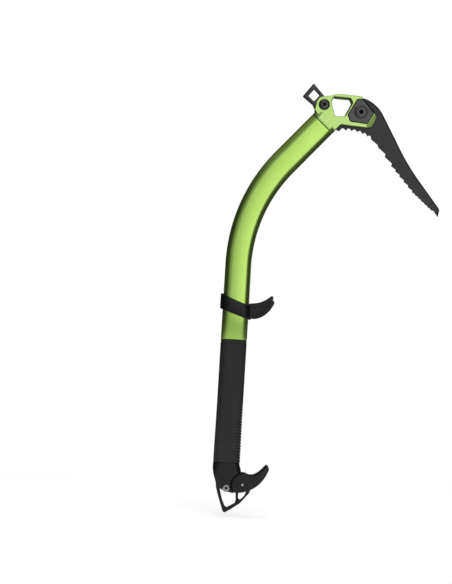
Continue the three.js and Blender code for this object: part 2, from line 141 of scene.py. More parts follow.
# %% Soft boxes: one high in front, one behind, one above
def soft_box(name, place, target, width, power):
    lamp_data = bpy.data.lights.new(name, "AREA")
    lamp_data.shape = "SQUARE"
    lamp_data.size = width
    lamp_data.energy = power
    box = bpy.data.objects.new(name, lamp_data)
    bpy.context.scene.collection.objects.link(box)
    box.location = place
    box.rotation_euler = (Vector(target) - Vector(place)).to_track_quat("-Z", "Y").to_euler()
    return box


BEND_MIDDLE = (0.03, 0, 0.23)
soft_box("front_box", (0.40, -0.95, 0.30), BEND_MIDDLE, 0.95, 3.6)
soft_box("back_box", (0.55, 1.0, 0.45), BEND_MIDDLE, 0.6, 1.6)
soft_box("top_box", (-0.05, -0.25, 1.0), BEND_MIDDLE, 0.45, 1.0)
print("soft boxes: 3")

# %% Pale round floor under the spike
FLOOR_Z = -0.134
FLOOR_RADIUS = 0.42
FLOOR_SIDES = 64
FLOOR_GLOW = 0.62  # keeps the floor as pale as the backdrop

floor_mesh = bpy.data.meshes.new("floor")
edge_turns = [2 * math.pi * i / FLOOR_SIDES for i in range(FLOOR_SIDES)]
floor_mesh.from_pydata(
    [(FLOOR_RADIUS * math.cos(t), FLOOR_RADIUS * math.sin(t), FLOOR_Z) for t in edge_turns],
    [], [range(FLOOR_SIDES)])
floor = bpy.data.objects.new("floor", floor_mesh)
bpy.context.scene.collection.objects.link(floor)
floor_paint = bpy.data.materials.new("pale_floor")
floor_paint.use_nodes = True
floor_shader = floor_paint.node_tree.nodes["Principled BSDF"]
floor_shader.inputs["Base Color"].default_value = (0.93, 0.93, 0.93, 1)
floor_shader.inputs["Roughness"].default_value = 1
floor_shader.inputs["Specular IOR Level"].default_value = 0
floor_shader.inputs["Emission Color"].default_value = (1, 1, 1, 1)
floor_shader.inputs["Emission Strength"].default_value = FLOOR_GLOW
floor.data.materials.append(floor_paint)
print("floor at", FLOOR_Z)

# %% [markdown]
# ## Outlines
# Most pieces of an axe are plates, so their shapes start as flat outlines: lists of x and z,
# forward and up. A third number at a corner is its rounding. Arcs and bows fill in the curves.

# %% Arcs, bows and rounded corners
CORNER_STEPS = 5


def arc(centre, radius, start, end, steps):
    turns = [math.radians(start + (end - start) * i / steps) for i in range(steps + 1)]
    return [(centre[0] + radius * math.cos(t), centre[1] + radius * math.sin(t)) for t in turns]


def bow(start, control, end, steps=8):
    points = []
    for i in range(steps + 1):
        t = i / steps
        points.append(tuple(
            (1 - t) ** 2 * a + 2 * t * (1 - t) * b + t * t * c
            for a, b, c in zip(start, control, end)))
    return points


def rounded(corners, steps=CORNER_STEPS):
    points = []
    for i, corner in enumerate(corners):
        if len(corner) < 3:
            points.append(tuple(corner))
            continue
        here = Vector(corner[:2])
        before = (Vector(corners[i - 1][:2]) - here).normalized()
        after = (Vector(corners[(i + 1) % len(corners)][:2]) - here).normalized()
        reach = corner[2] / math.tan(before.angle(after) / 2)
        points += bow(here + before * reach, here, here + after * reach, steps)
    return points


def grown(outline, distance):
    """The outline moved outwards, or inwards where the distance is negative."""
    area = sum(a[0] * b[1] - b[0] * a[1] for a, b in zip(outline, outline[1:] + outline[:1]))
    outward = 1 if area > 0 else -1
    points = []
    for i, place in enumerate(outline):
        here = Vector(place)
        before = (here - Vector(outline[i - 1])).normalized()
        after = (Vector(outline[(i + 1) % len(outline)]) - here).normalized()
        side = (before + after).normalized()
        normal = Vector((side.y, -side.x)) * outward
        points.append(tuple(here + normal * distance / max(0.4, side.dot(after))))
    return points


print("a rounded square has", len(rounded([(0, 0, 1), (9, 0, 1), (9, 9, 1), (0, 9, 1)])), "points")

# %% [markdown]
# ## From outlines to solids
# Four small tools make all the solids. A plate is one flat face that Solidify thickens. A skin
# is stretched over rings, for the tube and sleeves. A turned piece is a profile that Screw
# spins. Cutting and joining use Boolean, which names a helper object, so it is applied at
# once and the helper is removed.

# %% Plates, skins, bars and turned pieces
def new_piece(name, points, faces, edges=()):
    mesh = bpy.data.meshes.new(name)
    mesh.from_pydata([[c * MM for c in p] for p in points], list(edges), faces)
    piece = bpy.data.objects.new(name, mesh)
    bpy.context.scene.collection.objects.link(piece)
    return piece


def clean(piece):
    """Merges doubled points and turns the faces outwards."""
    cage = bmesh.new()
    cage.from_mesh(piece.data)
    bmesh.ops.remove_doubles(cage, verts=cage.verts, dist=1e-6)
    bmesh.ops.recalc_face_normals(cage, faces=cage.faces)
    cage.to_mesh(piece.data)
    cage.free()
    return piece


def apply_stack(piece):
    seen = piece.evaluated_get(bpy.context.evaluated_depsgraph_get())
    raw = piece.data
    finished = bpy.data.meshes.new_from_object(seen)
    piece.modifiers.clear()
    piece.data = finished
    bpy.data.meshes.remove(raw)
    return clean(piece)


def slab(name, outline, low, high):
    """A plate between two values of y."""
    middle = (low + high) / 2
    piece = new_piece(name, [(x, middle, z) for x, z in outline], [range(len(outline))])
    wall = piece.modifiers.new("thickness", "SOLIDIFY")
    wall.thickness = (high - low) * MM
    wall.offset = 0
    return apply_stack(piece)


def skin(name, rings, capped=True):
    """Quads between rings; without caps, the last ring meets the first."""
    count = len(rings[0])
    faces = []
    for r in range(len(rings) - 1 if capped else len(rings)):
        low, high = r * count, (r + 1) % len(rings) * count
        for i in range(count):
            j = (i + 1) % count
            faces.append((low + i, low + j, high + j, high + i))
    if capped:
        top = (len(rings) - 1) * count
        faces += [tuple(range(count)), tuple(range(top, top + count))]
    return clean(new_piece(name, [p for ring in rings for p in ring], faces))


def rolled(name, outline, half, roll, steps=4):
    """A plate whose rims are rolled over by a radius."""
    turns = [math.pi / 2 * i / steps for i in range(steps + 1)]
    near = [(roll * (1 - math.sin(t)), roll * (1 - math.cos(t)) - half) for t in turns]
    rings = near + [(inset, -y) for inset, y in reversed(near)]
    return skin(name, [[(x, y, z) for x, z in grown(outline, -inset)] for inset, y in rings])


def bar(name, centre, radius, low, high, sides=48):
    circle = arc(centre, radius, 0, 360 - 360 / sides, sides - 1)
    return skin(name, [[(x, y, z) for x, z in circle] for y in (low, high)])


def turned(name, profile, centre, steps=64):
    """A profile of (radius, y) spun about y, then put in its place."""
    points = [(radius, y, 0) for radius, y in profile]
    piece = new_piece(name, points, [], [(i, i + 1) for i in range(len(points) - 1)])
    spin = piece.modifiers.new("spin", "SCREW")
    spin.axis = "Y"
    spin.steps = spin.render_steps = steps
    spin.use_merge_vertices = True
    spin.merge_threshold = 1e-6
    apply_stack(piece)
    piece.data.transform(Matrix.Translation((centre[0] * MM, 0, centre[1] * MM)))
    return piece


# %% Cutting, joining and softening
def combine(piece, operation, tools):
    for tool in tools:
        step = piece.modifiers.new(operation, "BOOLEAN")
        step.operation = operation
        step.solver = "EXACT"
        step.object = tool
    apply_stack(piece)
    for tool in tools:
        bpy.data.objects.remove(tool)
    return piece


def cut(piece, *tools):
    return combine(piece, "DIFFERENCE", tools)


def join(piece, *others):
    return combine(piece, "UNION", others)


def common(piece, *others):
    return combine(piece, "INTERSECT", others)


def soften(piece, width, segments=2, angle=32):
    """Rounds the edges with a live Bevel and keeps the flats flat with Weighted Normal."""
    rim = piece.modifiers.new("rounded_edges", "BEVEL")
    rim.width = width * MM
    rim.segments = segments
    rim.limit_method = "ANGLE"
    rim.angle_limit = math.radians(angle)
    rim.use_clamp_overlap = False
    flats = piece.modifiers.new("flat_shading", "WEIGHTED_NORMAL")
    flats.weight = 80
    piece.data.shade_smooth()
    return piece


def smooth(piece, angle=32):
    piece.data.shade_smooth()
    piece.data.set_sharp_from_angle(angle=math.radians(angle))
    return piece


def fit(piece, body, slot, material, *nodes):
    """The piece gets its finish, rides on its body and stands for its CAD parts."""
    piece.data.materials.clear()
    piece.data.materials.append(material)
    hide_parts(*nodes)
    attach(piece, body)
    print(piece.name, "has", len(piece.data.polygons), "faces before its live stack")


print("tools ready")

# %% [markdown]
# ## Metallic paint
# The tube and the head are sprayed with a green paint full of metal flakes under a clear coat.
# A plain green plastic would look flat, because the flakes are tiny mirrors that tint what they
# reflect. So the shader is mostly metallic, a Voronoi pattern gives each flake its own shade, a
# broad noise clouds the colour, and a Bevel node finds the edges, where use rubs the paint thin.

# %% Places in the node editor, and paler edges from wear and painted highlight
def blank_material(name):
    material = bpy.data.materials.new(name)
    material.use_nodes = True
    material.node_tree.nodes.clear()
    return material


def arrange(places):
    """Each frame with its nodes, and where they lie in the node editor."""
    for node_frame, spots in places.items():
        for node, x, y in spots:
            node.parent = node_frame
            node.location = (x, y)


def edge_wear_and_highlight(tree, patches, radius, agreement, edge_pallor):
    """Finds the edges that get paler: rubbed paint and steel, and on the black finishes partly worn
    coat, partly a painted highlight; the socket given back says how much.
    """
    nodes, links = tree.nodes, tree.links
    edge_frame = nodes.new("NodeFrame")
    edge_frame.label = "rubbed edges"
    surface = nodes.new("ShaderNodeNewGeometry")
    surface.label = "true surface"
    edge = nodes.new("ShaderNodeBevel")
    edge.label = "surface with blurred edges"
    edge.samples = 4
    edge.inputs["Radius"].default_value = radius
    match = nodes.new("ShaderNodeVectorMath")
    match.label = "how far they agree"
    match.operation = "DOT_PRODUCT"
    edge_amount = nodes.new("ShaderNodeMapRange")
    edge_amount.label = "disagreement is an edge"
    edge_amount.inputs["From Min"].default_value = agreement[0]
    edge_amount.inputs["From Max"].default_value = agreement[1]
    edge_amount.inputs["To Max"].default_value = edge_pallor
    pale_edges = nodes.new("ShaderNodeMath")
    pale_edges.label = "wear in patches"
    pale_edges.operation = "MULTIPLY"
    arrange({edge_frame: [
        (surface, -1150, -250), (edge, -1150, -450), (match, -950, -300), (edge_amount, -750, -300),
        (pale_edges, -550, -250)]})
    links.new(surface.outputs["Normal"], match.inputs[0])
    links.new(edge.outputs["Normal"], match.inputs[1])
    links.new(match.outputs["Value"], edge_amount.inputs["Value"])
    links.new(edge_amount.outputs["Result"], pale_edges.inputs[0])
    links.new(patches, pale_edges.inputs[1])
    return pale_edges.outputs[0]


print("one way to find edges, for all the finishes")

# %% [markdown]
# The paint itself uses that for its edges. Its flakes are cells, each with its own shade and
# its own tilt, so that they glitter as the light passes over them.

# %% Green flake paint
def flake_paint(name, colour, flake_colour, edge_colour, edge_pallor):
    paint = blank_material(name)
    nodes, links = paint.node_tree.nodes, paint.node_tree.links

    flake_frame = nodes.new("NodeFrame")
    flake_frame.label = "metal flakes"
    skin_frame = nodes.new("NodeFrame")
    skin_frame.label = "surface of the coat"

    place = nodes.new("ShaderNodeTexCoord")
    place.label = "place on the tool"
    flakes = nodes.new("ShaderNodeTexVoronoi")
    flakes.label = "one cell for each flake"
    flakes.inputs["Scale"].default_value = 4200
    clouds = nodes.new("ShaderNodeTexNoise")
    clouds.label = "uneven spraying"
    clouds.inputs["Scale"].default_value = 45
    clouds.inputs["Detail"].default_value = 3
    spread = nodes.new("ShaderNodeSeparateColor")
    spread.label = "a number for each flake"
    amount = nodes.new("ShaderNodeMath")
    amount.label = "flakes through the clouds"
    amount.operation = "MULTIPLY"
    green = nodes.new("ShaderNodeValToRGB")
    green.label = "green to pale flakes"
    green.color_ramp.elements[0].color = colour + (1,)
    green.color_ramp.elements[1].color = flake_colour + (1,)
    green.color_ramp.elements[1].position = 0.75

    chips = nodes.new("ShaderNodeTexNoise")
    chips.label = "broken wear"
    chips.inputs["Scale"].default_value = 420
    chips.inputs["Detail"].default_value = 4
    pale_edges = edge_wear_and_highlight(paint.node_tree, chips.outputs[0], 0.0007, (0.995, 0.90), edge_pallor)
    body_colour = nodes.new("ShaderNodeMix")
    body_colour.label = "paint or rubbed paint"
    body_colour.data_type = "RGBA"
    body_colour.inputs[7].default_value = edge_colour + (1,)

    gloss = nodes.new("ShaderNodeMapRange")
    gloss.label = "gloss varies with the spray"
    gloss.inputs["To Min"].default_value = 0.27
    gloss.inputs["To Max"].default_value = 0.34
    peel = nodes.new("ShaderNodeTexNoise")
    peel.label = "orange peel"
    peel.inputs["Scale"].default_value = 650
    peel.inputs["Detail"].default_value = 2
    flake_bump = nodes.new("ShaderNodeBump")
    flake_bump.label = "flakes tilt"
    flake_bump.inputs["Strength"].default_value = 0.06
    flake_bump.inputs["Distance"].default_value = 0.0001
    peel_bump = nodes.new("ShaderNodeBump")
    peel_bump.label = "peel of the coat"
    peel_bump.inputs["Strength"].default_value = 0.05
    peel_bump.inputs["Distance"].default_value = 0.0002

    shader = nodes.new("ShaderNodeBsdfPrincipled")
    shader.label = "flake paint under clear coat"
    shader.inputs["Metallic"].default_value = 0.92
    shader.inputs["Coat Weight"].default_value = 0.3
    shader.inputs["Coat Roughness"].default_value = 0.25
    out = nodes.new("ShaderNodeOutputMaterial")
    out.label = name

    arrange({
        None: [(place, -1400, 0), (chips, -950, -700), (body_colour, -250, 150),
            (shader, 100, 100), (out, 400, 100)],
        flake_frame: [(flakes, -1150, 350), (clouds, -1150, 100), (spread, -950, 350),
            (amount, -750, 250), (green, -550, 300)],
        skin_frame: [(gloss, -550, -520), (peel, -750, -700), (flake_bump, -350, -700),
            (peel_bump, -150, -600)],
    })
    links.new(place.outputs["Object"], flakes.inputs["Vector"])
    links.new(place.outputs["Object"], clouds.inputs["Vector"])
    links.new(place.outputs["Object"], chips.inputs["Vector"])
    links.new(place.outputs["Object"], peel.inputs["Vector"])
    links.new(flakes.outputs["Color"], spread.inputs["Color"])
    links.new(spread.outputs["Red"], amount.inputs[0])
    links.new(clouds.outputs[0], amount.inputs[1])
    links.new(amount.outputs[0], green.inputs["Fac"])
    links.new(pale_edges, body_colour.inputs[0])
    links.new(green.outputs["Color"], body_colour.inputs[6])
    links.new(body_colour.outputs[2], shader.inputs["Base Color"])
    links.new(clouds.outputs[0], gloss.inputs["Value"])
    links.new(gloss.outputs["Result"], shader.inputs["Roughness"])
    links.new(spread.outputs["Green"], flake_bump.inputs["Height"])
    links.new(flake_bump.outputs["Normal"], peel_bump.inputs["Normal"])
    links.new(peel.outputs[0], peel_bump.inputs["Height"])
    links.new(peel_bump.outputs["Normal"], shader.inputs["Normal"])
    links.new(shader.outputs["BSDF"], out.inputs["Surface"])
    return paint


shaft_paint = flake_paint(
    "shaft_paint", (0.30, 0.50, 0.075), (0.45, 0.66, 0.18),
    (0.50, 0.64, 0.30), 0.15)
head_paint = flake_paint(
    "head_paint", (0.30, 0.46, 0.10), (0.42, 0.58, 0.21),
    (0.60, 0.74, 0.38), 0.35)
print("paints:", shaft_paint.name, head_paint.name)

# %% [markdown]
# ## Ground and turned steel
# The pick, the plates and the screws are steel. Grinding leaves fine lines, blasting leaves a
# fine grain, and both are a stretched or an even noise. Steel is fully metallic, so its colour
# is the tint of what it reflects. Edges rub bright, and a broad noise dulls it here and there.

# %% Steel in several greys
def steel(name, colour, edge_colour, roughness, grain, stretch, edge_pallor, depth):
    metal = blank_material(name)
    nodes, links = metal.node_tree.nodes, metal.node_tree.links

    grain_frame = nodes.new("NodeFrame")
    grain_frame.label = "grain of the metal"

    place = nodes.new("ShaderNodeTexCoord")
    place.label = "place on the tool"
    lay = nodes.new("ShaderNodeMapping")
    lay.label = "direction of the grinding"
    lay.inputs["Rotation"].default_value = (0, math.radians(-50), 0)
    lay.inputs["Scale"].default_value = stretch
    lines = nodes.new("ShaderNodeTexNoise")
    lines.label = "ground lines"
    lines.inputs["Scale"].default_value = grain
    lines.inputs["Detail"].default_value = 4
    stains = nodes.new("ShaderNodeTexNoise")
    stains.label = "dull patches"
    stains.inputs["Scale"].default_value = 70
    stains.inputs["Detail"].default_value = 5
    tone = nodes.new("ShaderNodeMath")
    tone.label = "lines over patches"
    tone.operation = "MULTIPLY"
    shade = nodes.new("ShaderNodeValToRGB")
    shade.label = "dark and light grain"
    shade.color_ramp.elements[0].position = 0.12
    shade.color_ramp.elements[0].color = tuple(0.72 * c for c in colour) + (1,)
    shade.color_ramp.elements[1].position = 0.42
    shade.color_ramp.elements[1].color = tuple(1.22 * c for c in colour) + (1,)

    pale_edges = edge_wear_and_highlight(metal.node_tree, stains.outputs[0], 0.0005, (0.99, 0.85), edge_pallor)
    body_colour = nodes.new("ShaderNodeMix")
    body_colour.label = "steel or rubbed steel"
    body_colour.data_type = "RGBA"
    body_colour.inputs[7].default_value = edge_colour + (1,)

    polish = nodes.new("ShaderNodeMapRange")
    polish.label = "polish varies"
    polish.inputs["From Min"].default_value = 0.3
    polish.inputs["From Max"].default_value = 0.7
    polish.inputs["To Min"].default_value = roughness - 0.06
    polish.inputs["To Max"].default_value = roughness + 0.08
    relief = nodes.new("ShaderNodeBump")
    relief.label = "depth of the grain"
    relief.inputs["Strength"].default_value = depth
    relief.inputs["Distance"].default_value = 0.00015

    shader = nodes.new("ShaderNodeBsdfPrincipled")
    shader.label = "steel"
    shader.inputs["Metallic"].default_value = 1
    out = nodes.new("ShaderNodeOutputMaterial")
    out.label = name

    arrange({
        None: [(place, -1500, 0), (body_colour, -300, 100), (shader, 0, 100), (out, 300, 100)],
        grain_frame: [(lay, -1300, 200), (lines, -1100, 250), (stains, -1100, 0), (tone, -900, 150),
            (shade, -700, 150), (polish, -500, -50), (relief, -300, -200)],
    })
    links.new(place.outputs["Object"], lay.inputs["Vector"])
    links.new(lay.outputs["Vector"], lines.inputs["Vector"])
    links.new(place.outputs["Object"], stains.inputs["Vector"])
    links.new(lines.outputs[0], tone.inputs[0])
    links.new(stains.outputs[0], tone.inputs[1])
    links.new(tone.outputs[0], shade.inputs["Fac"])
    links.new(pale_edges, body_colour.inputs[0])
    links.new(shade.outputs["Color"], body_colour.inputs[6])
    links.new(body_colour.outputs[2], shader.inputs["Base Color"])
    links.new(stains.outputs[0], polish.inputs["Value"])
    links.new(polish.outputs["Result"], shader.inputs["Roughness"])
    links.new(lines.outputs[0], relief.inputs["Height"])
    links.new(relief.outputs["Normal"], shader.inputs["Normal"])
    links.new(shader.outputs["BSDF"], out.inputs["Surface"])
    return metal


ALONG = (0.08, 1, 1)
EVEN = (1, 1, 1)
pick_steel = steel(
    "pick_steel", (0.041, 0.0415, 0.042), (0.16, 0.16, 0.165), 0.44, 1500, ALONG, 0.5, 0.2)
plate_steel = steel(
    "plate_steel", (0.088, 0.088, 0.090), (0.30, 0.30, 0.31), 0.46, 2200, EVEN, 0.6, 0.3)
bolt_steel = steel(
    "bolt_steel", (0.072, 0.072, 0.074), (0.32, 0.32, 0.33), 0.38, 2400, EVEN, 0.6, 0.2)
screw_steel = steel(
    "screw_steel", (0.26, 0.26, 0.265), (0.6, 0.6, 0.6), 0.24, 1800, EVEN, 0.6, 0.1)
print("steels: 4")

# %% [markdown]
# ## Black coats, rubber and moulded plastic
# The hammer and the spike are steel under a black coat, the sleeve is rubber, and the rests
# are moulded plastic. None of them is metallic at the surface, so one make-up serves all:
# a mottled dark colour, a fine relief and paler edges, which are partly worn coat and partly
# a painted highlight on rounded rims. The arguments set how glossy the surface is, how coarse
# its relief, and how soft its look.

# %% Black coat, rubber and plastic
def black_finish(name, colour, edge_colour, roughness, grain, depth, edge_pallor, shine, coat):
    black = blank_material(name)
    nodes, links = black.node_tree.nodes, black.node_tree.links

    mottle_frame = nodes.new("NodeFrame")
    mottle_frame.label = "mottled colour"
    relief_frame = nodes.new("NodeFrame")
    relief_frame.label = "relief of the mould or coat"

    place = nodes.new("ShaderNodeTexCoord")
    place.label = "place on the tool"
    mottle = nodes.new("ShaderNodeTexNoise")
    mottle.label = "handling marks"
    mottle.inputs["Scale"].default_value = 160
    mottle.inputs["Detail"].default_value = 6
    mottle.inputs["Roughness"].default_value = 0.65
    tone = nodes.new("ShaderNodeValToRGB")
    tone.label = "darker and paler marks"
    tone.color_ramp.elements[0].position = 0.3
    tone.color_ramp.elements[0].color = tuple(0.78 * c for c in colour) + (1,)
    tone.color_ramp.elements[1].position = 0.7
    tone.color_ramp.elements[1].color = tuple(1.25 * c for c in colour) + (1,)
    matt = nodes.new("ShaderNodeMapRange")
    matt.label = "marks change the gloss"
    matt.inputs["From Min"].default_value = 0.3
    matt.inputs["From Max"].default_value = 0.7
    matt.inputs["To Min"].default_value = roughness - 0.07
    matt.inputs["To Max"].default_value = roughness + 0.07

    # paler edges: partly worn coat, partly a painted highlight on the rounded edges
    pale_edges = edge_wear_and_highlight(black.node_tree, mottle.outputs[0], 0.0005, (0.99, 0.85), edge_pallor)
    body_colour = nodes.new("ShaderNodeMix")
    body_colour.label = "black or paler edge"
    body_colour.data_type = "RGBA"
    body_colour.inputs[7].default_value = edge_colour + (1,)

    pebbles = nodes.new("ShaderNodeTexVoronoi")
    pebbles.label = "pebbled skin"
    pebbles.inputs["Scale"].default_value = grain
    dust = nodes.new("ShaderNodeTexNoise")
    dust.label = "fine roughness"
    dust.inputs["Scale"].default_value = 2.5 * grain
    dust.inputs["Detail"].default_value = 3
    skin_relief = nodes.new("ShaderNodeBump")
    skin_relief.label = "depth of the pebbles"
    skin_relief.inputs["Strength"].default_value = depth
    skin_relief.inputs["Distance"].default_value = 0.0002
    dust_relief = nodes.new("ShaderNodeBump")
    dust_relief.label = "depth of the fine roughness"
    dust_relief.inputs["Strength"].default_value = 0.6 * depth
    dust_relief.inputs["Distance"].default_value = 0.0001

    shader = nodes.new("ShaderNodeBsdfPrincipled")
    shader.label = "black surface"
    shader.inputs["Metallic"].default_value = 0
    shader.inputs["Specular IOR Level"].default_value = shine
    shader.inputs["Coat Weight"].default_value = coat
    shader.inputs["Coat Roughness"].default_value = 0.12
    out = nodes.new("ShaderNodeOutputMaterial")
    out.label = name

    arrange({
        None: [(place, -1400, 0), (body_colour, -300, 150), (shader, 0, 100), (out, 300, 100)],
        mottle_frame: [(mottle, -1150, 300), (tone, -900, 300), (matt, -900, 50)],
        relief_frame: [(pebbles, -950, -650), (dust, -950, -900), (skin_relief, -650, -650),
            (dust_relief, -400, -600)],
    })
    links.new(place.outputs["Object"], mottle.inputs["Vector"])
    links.new(place.outputs["Object"], pebbles.inputs["Vector"])
    links.new(place.outputs["Object"], dust.inputs["Vector"])
    links.new(mottle.outputs[0], tone.inputs["Fac"])
    links.new(mottle.outputs[0], matt.inputs["Value"])
    links.new(pale_edges, body_colour.inputs[0])
    links.new(tone.outputs["Color"], body_colour.inputs[6])
    links.new(body_colour.outputs[2], shader.inputs["Base Color"])
    links.new(matt.outputs["Result"], shader.inputs["Roughness"])
    links.new(pebbles.outputs["Distance"], skin_relief.inputs["Height"])
    links.new(skin_relief.outputs["Normal"], dust_relief.inputs["Normal"])
    links.new(dust.outputs[0], dust_relief.inputs["Height"])
    links.new(dust_relief.outputs["Normal"], shader.inputs["Normal"])
    links.new(shader.outputs["BSDF"], out.inputs["Surface"])
    return black


# the pale edge colours are partly worn coat and partly a painted highlight; the hammer and the
# rests carry the most painted highlight
hammer_black = black_finish(
    "hammer_black", (0.006, 0.006, 0.007), (0.16, 0.16, 0.17), 0.28, 900, 0.12, 1.0, 0.4, 0.35)
spike_black = black_finish(
    "spike_black", (0.006, 0.006, 0.007), (0.06, 0.06, 0.063), 0.42, 1100, 0.2, 0.6, 0.2, 0)
grip_rubber = black_finish(
    "grip_rubber", (0.021, 0.0225, 0.022), (0.05, 0.053, 0.052), 0.62, 700, 0.4, 0.5, 0.22, 0)
pad_rubber = black_finish(
    "pad_rubber", (0.020, 0.021, 0.020), (0.06, 0.06, 0.06), 0.75, 1400, 0.5, 0.4, 0.2, 0)
rest_plastic = black_finish(
    "rest_plastic", (0.0065, 0.0065, 0.0075), (0.09, 0.09, 0.095), 0.36, 1300, 0.16, 0.8, 0.22, 0)
plug_plastic = black_finish(
    "plug_plastic", (0.015, 0.015, 0.016), (0.06, 0.06, 0.06), 0.55, 1500, 0.3, 0.4, 0.2, 0)
# a near-black finish painted inside the bolt sockets as their shade
socket_painted_shade = black_finish(
    "socket_painted_shade", (0.003, 0.003, 0.003), (0.02, 0.02, 0.02), 0.6, 1500, 0.3, 0.3, 0.1, 0)
print("black finishes: 7")

# %% [markdown]
# ## The bent tube
# The shaft is an oval aluminium tube. It is straight inside the grip, where it is thinner, and
# bends forward above. Simple Deform could bend a straight tube, but its end has to meet the
# head exactly, so a skin over oval rings that follow the arc is easier to place.

# %% Sizes of the tube and its ovals
BEND_START, BEND_RADIUS, BEND_ANGLE, TOP_STRAIGHT = 156, 182, 41.5, 61.3
OVAL = (15, 10.5, 8.5)  # half depth, half width, corner radius
TOP_OVAL = (15.8, 10.5, 8.5)
THIN_OVAL = (12.8, 8.8, 7)


def widened(size, by):
    return tuple(s + by for s in size)


def oval(size, steps=7):
    depth, width, corner = size
    points = []
    for side_x, side_y, turn in ((1, 1, 0), (-1, 1, 90), (-1, -1, 180), (1, -1, 270)):
        middle = (side_x * (depth - corner), side_y * (width - corner))
        points += arc(middle, corner, turn, turn + 90, steps)
    return points


def ring(size, x, z, lean=0):
    """An oval square to a line that leans forward by some degrees."""
    turn = math.radians(lean)
    return [(x + u * math.cos(turn), v, z - u * math.sin(turn)) for u, v in oval(size)]


def along_tube(distance):
    """x, z and lean at a distance above the start of the bend."""
    bent = math.radians(BEND_ANGLE) * BEND_RADIUS
    turn = min(distance, bent) / BEND_RADIUS
    past = max(0, distance - bent)
    x = BEND_RADIUS * (1 - math.cos(turn)) + past * math.sin(turn)
    z = BEND_START + BEND_RADIUS * math.sin(turn) + past * math.cos(turn)
    return x, z, math.degrees(turn)


BENT = math.radians(BEND_ANGLE) * BEND_RADIUS
JOINT = BENT + TOP_STRAIGHT
rings = [ring(THIN_OVAL, 0, -82), ring(THIN_OVAL, 0, 69), ring(widened(OVAL, -0.3), 0, 70.1),
         ring(OVAL, 0, 70.6), ring(OVAL, 0, 110)]
for step in range(25):
    share = step / 24
    size = tuple(a + (b - a) * share for a, b in zip(OVAL, TOP_OVAL))
    rings.append(ring(size, *along_tube(share * BENT)))
rings.append(ring(TOP_OVAL, *along_tube(JOINT - 0.5)))
rings.append(ring(widened(TOP_OVAL, -0.6), *along_tube(JOINT)))
shaft = smooth(skin("shaft_tube_painted", rings))
fit(shaft, "axe", "green_paint", shaft_paint, "shaft_tube")
shaft.data.materials.append(bolt_steel)
for face in shaft.data.polygons:
    if face.center.z < 69.5 * MM:
        face.material_index = 1  # the thin end inside the grip is bare

# %% [markdown]
# ## The head
# The head is a forged block with a round neck for the tube. It starts as a thick plate and is
# cut like the real one on a mill: a window with a sloping rim, a slot for the pick, a pocket
# in each cheek for the side plate, and a sloping flange below the plates. A live Bevel breaks
# the edges. All its outlines are in the head's own axes, which lean with the pick bolt.

# %% From the head's axes to the tool's
PICK_BOLT = (129.5, 338.5)
HAMMER_BOLT = (-41.9, 8.7)
HEAD_HALF = 9.5
PICK_HOLE, HAMMER_HOLE = 4.3, 2.8  # radii
THROUGH = (-20, 20)  # a cut through the whole tool
PLATE_FLOOR = 7.6
PLATE_FACE = 9.9


def in_head(outline):
    c, s = math.cos(LEAN), math.sin(LEAN)
    return [(PICK_BOLT[0] + c * x - s * z, PICK_BOLT[1] + s * x + c * z) for x, z in outline]


def at_neck(distance, across=0):
    """x and z at a distance above the joint along the neck, and across it."""
    x, z, lean = along_tube(JOINT)
    turn = math.radians(lean)
    return (x + distance * math.sin(turn) + across * math.cos(turn),
            z + distance * math.cos(turn) - across * math.sin(turn))


def neck_ring(size, distance):
    return ring(size, *at_neck(distance), BEND_ANGLE)


head_outline = in_head(rounded([
    (-58, -4), (-52.6, 2.6, 1), (-52.2, 6.4, 2), *arc(HAMMER_BOLT, 9.4, 178, 92, 14),
    (-34.4, 19, 5), (-28.3, 20.8, 3), (-18.1, 20.3, 6), (-7.7, 19.2, 8), (1.6, 17.9, 1.4),
    (3.6, 14.6, 1), (15, 0), (18.6, -4.4, 2), (16.2, -11.4, 3), (12.4, -17.2, 3),
    (7.5, -17.6, 3), (-12.3, -15.2), (-22.6, -13.7, 3), (-27.2, -17.8, 3), (-37, -28)]))
window = in_head(rounded([
    (-33.3, 12, 2.4), (-30.2, 16.8, 2), (-12.6, 15.1, 2),
    (-10.6, 10.4, 1.4), (-18.7, -4.4, 2.4), (-29.2, -4.4, 2.4)]))
window_rim = in_head(rounded([
    (-34.4, 12.2, 2.6), (-31, 18.2, 2.2), (-11.6, 16.3, 2.2),
    (-9, 10.6, 1.6), (-18, -4.8, 2.6), (-29.4, -4.8, 2.6)]))
plate_outline = in_head(rounded([
    (-3.6, 14.5, 1.5), (2.2, 14.6, 1), (14.7, -0.8, 1),
    (7.3, -13, 1.5), (-11.8, -10.2, 1.5), (-14.6, -3, 1.5)]))
pick_slot = in_head([
    (-27.7, -10.1), (-17.2, -8.9), (-14.1, -7.2), (-6.3, 9.6), (-4.4, 13.4), (0.6, 19),
    (30, 19), (30, -40), (-27.7, -40)])
tongue_slot = in_head([
    (-37.1, 0.4), (-37.1, 12), (-39, 24), (-70, 24), (-70, 3), (-53.4, 3), (-44, 0.4)])
hammer_place = in_head([HAMMER_BOLT])[0]
print("head outline:", len(head_outline), "points")

# %% Block, neck and tang
below_joint = [at_neck(5, -60), at_neck(5, 60), at_neck(-90, 60), at_neck(-90, -60)]
block = cut(slab("head_painted", head_outline, -HEAD_HALF, HEAD_HALF),
            slab("below_joint", below_joint, -30, 30))
neck_sizes = [(-0.6, 0.3), (0, 0.9), (0, 5), (-0.2, 9), (-0.5, 13)]
neck = skin("neck", [
    neck_ring(widened(TOP_OVAL, by), distance) if distance < 9 else
    neck_ring((15.5, TOP_OVAL[1] + 2.2 * by, 7.6), distance)
    for by, distance in neck_sizes])
tang_oval = widened(TOP_OVAL, -2.5)
tang = skin("tang", [neck_ring(tang_oval, -42), neck_ring(widened(tang_oval, -0.5), 6)])
head = join(block, neck, tang)
print("head block:", len(head.data.polygons), "faces")

